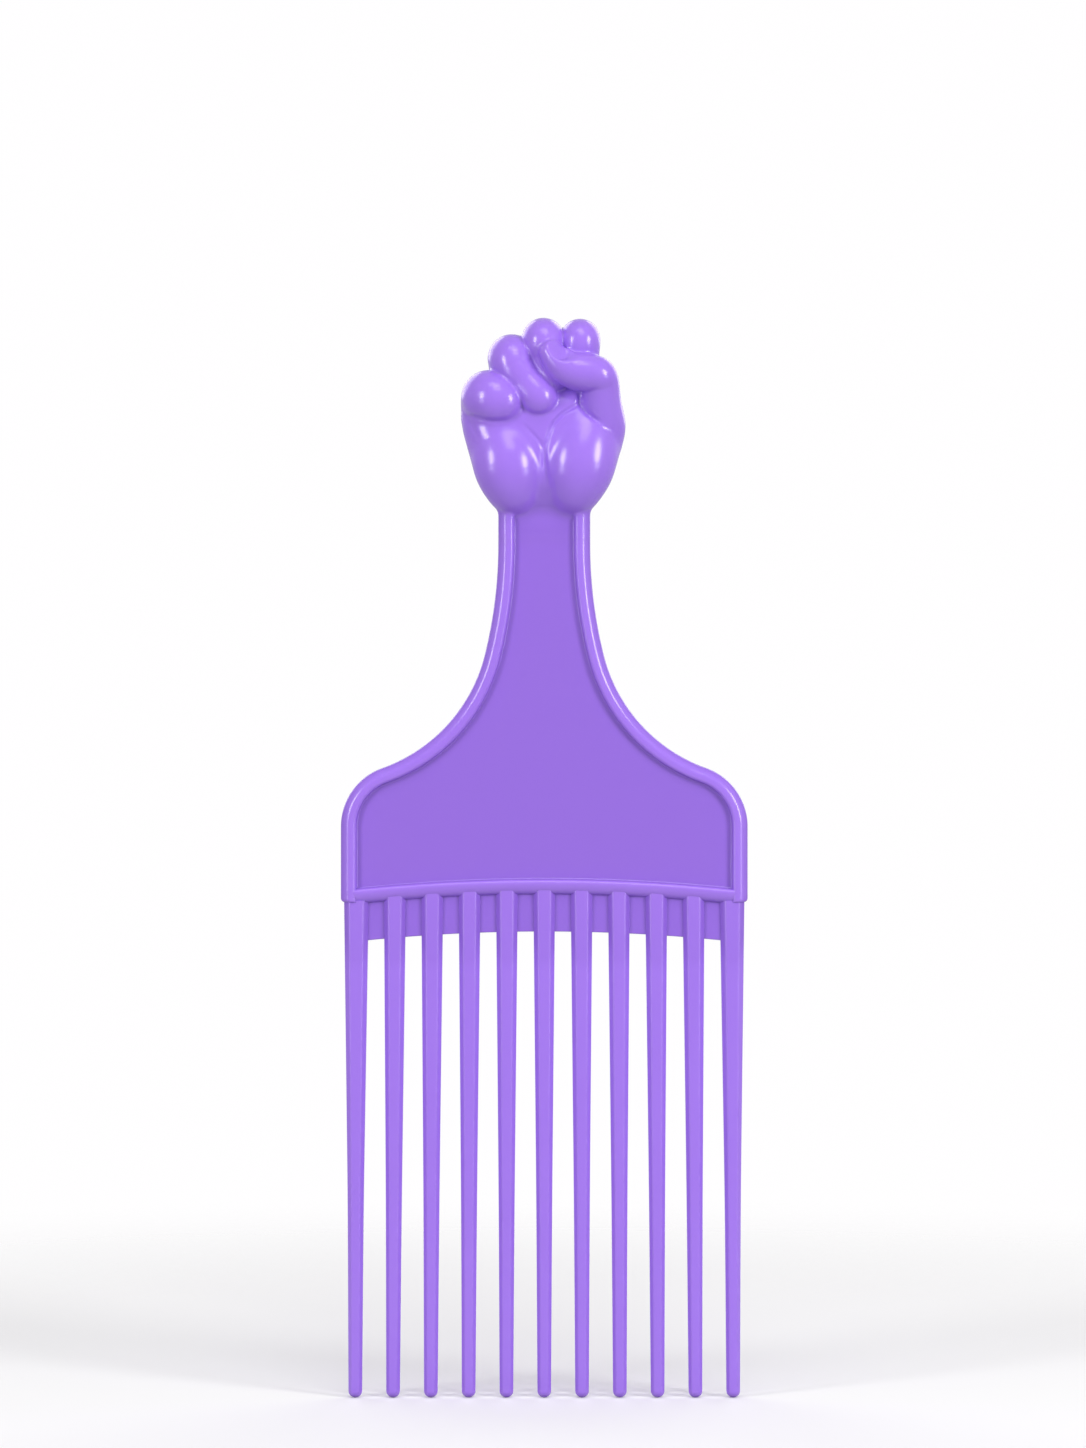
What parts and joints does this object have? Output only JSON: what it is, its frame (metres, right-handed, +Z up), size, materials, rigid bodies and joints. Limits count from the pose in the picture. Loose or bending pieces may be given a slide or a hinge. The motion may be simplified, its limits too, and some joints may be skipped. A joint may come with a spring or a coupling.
{
  "type": "afro pick",
  "caption": "Hair pick moulded in glossy purple plastic: a raised fist on a rimmed, waisted handle over a wide row of long tapered teeth.",
  "frame": {"origin": "middle of the neck, where the pick is held between the fist and the plate", "axes": "+Z up the handle to the fist, the teeth at -Z; -Y is the front, with the folded thumb and the palm side; +X to the thumb's side"},
  "size_m": [0.0716, 0.017, 0.19],
  "materials": {
    "purple_plastic": "smooth glossy moulded plastic in a mid purple, opaque"
  },
  "bodies": {
    "root": {"palm": "purple_plastic", "little_finger": "purple_plastic", "ring_finger": "purple_plastic", "middle_finger": "purple_plastic", "index_finger": "purple_plastic", "thumb": "purple_plastic", "handle_panel": "purple_plastic", "left_rim": "purple_plastic", "right_rim": "purple_plastic", "cross_rib": "purple_plastic", "root_web": "purple_plastic", "tooth_01": "purple_plastic", "tooth_02": "purple_plastic", "tooth_03": "purple_plastic", "tooth_04": "purple_plastic", "tooth_05": "purple_plastic", "tooth_06": "purple_plastic", "tooth_07": "purple_plastic", "tooth_08": "purple_plastic", "tooth_09": "purple_plastic", "tooth_10": "purple_plastic", "tooth_11": "purple_plastic"}
  },
  "joints": []
}
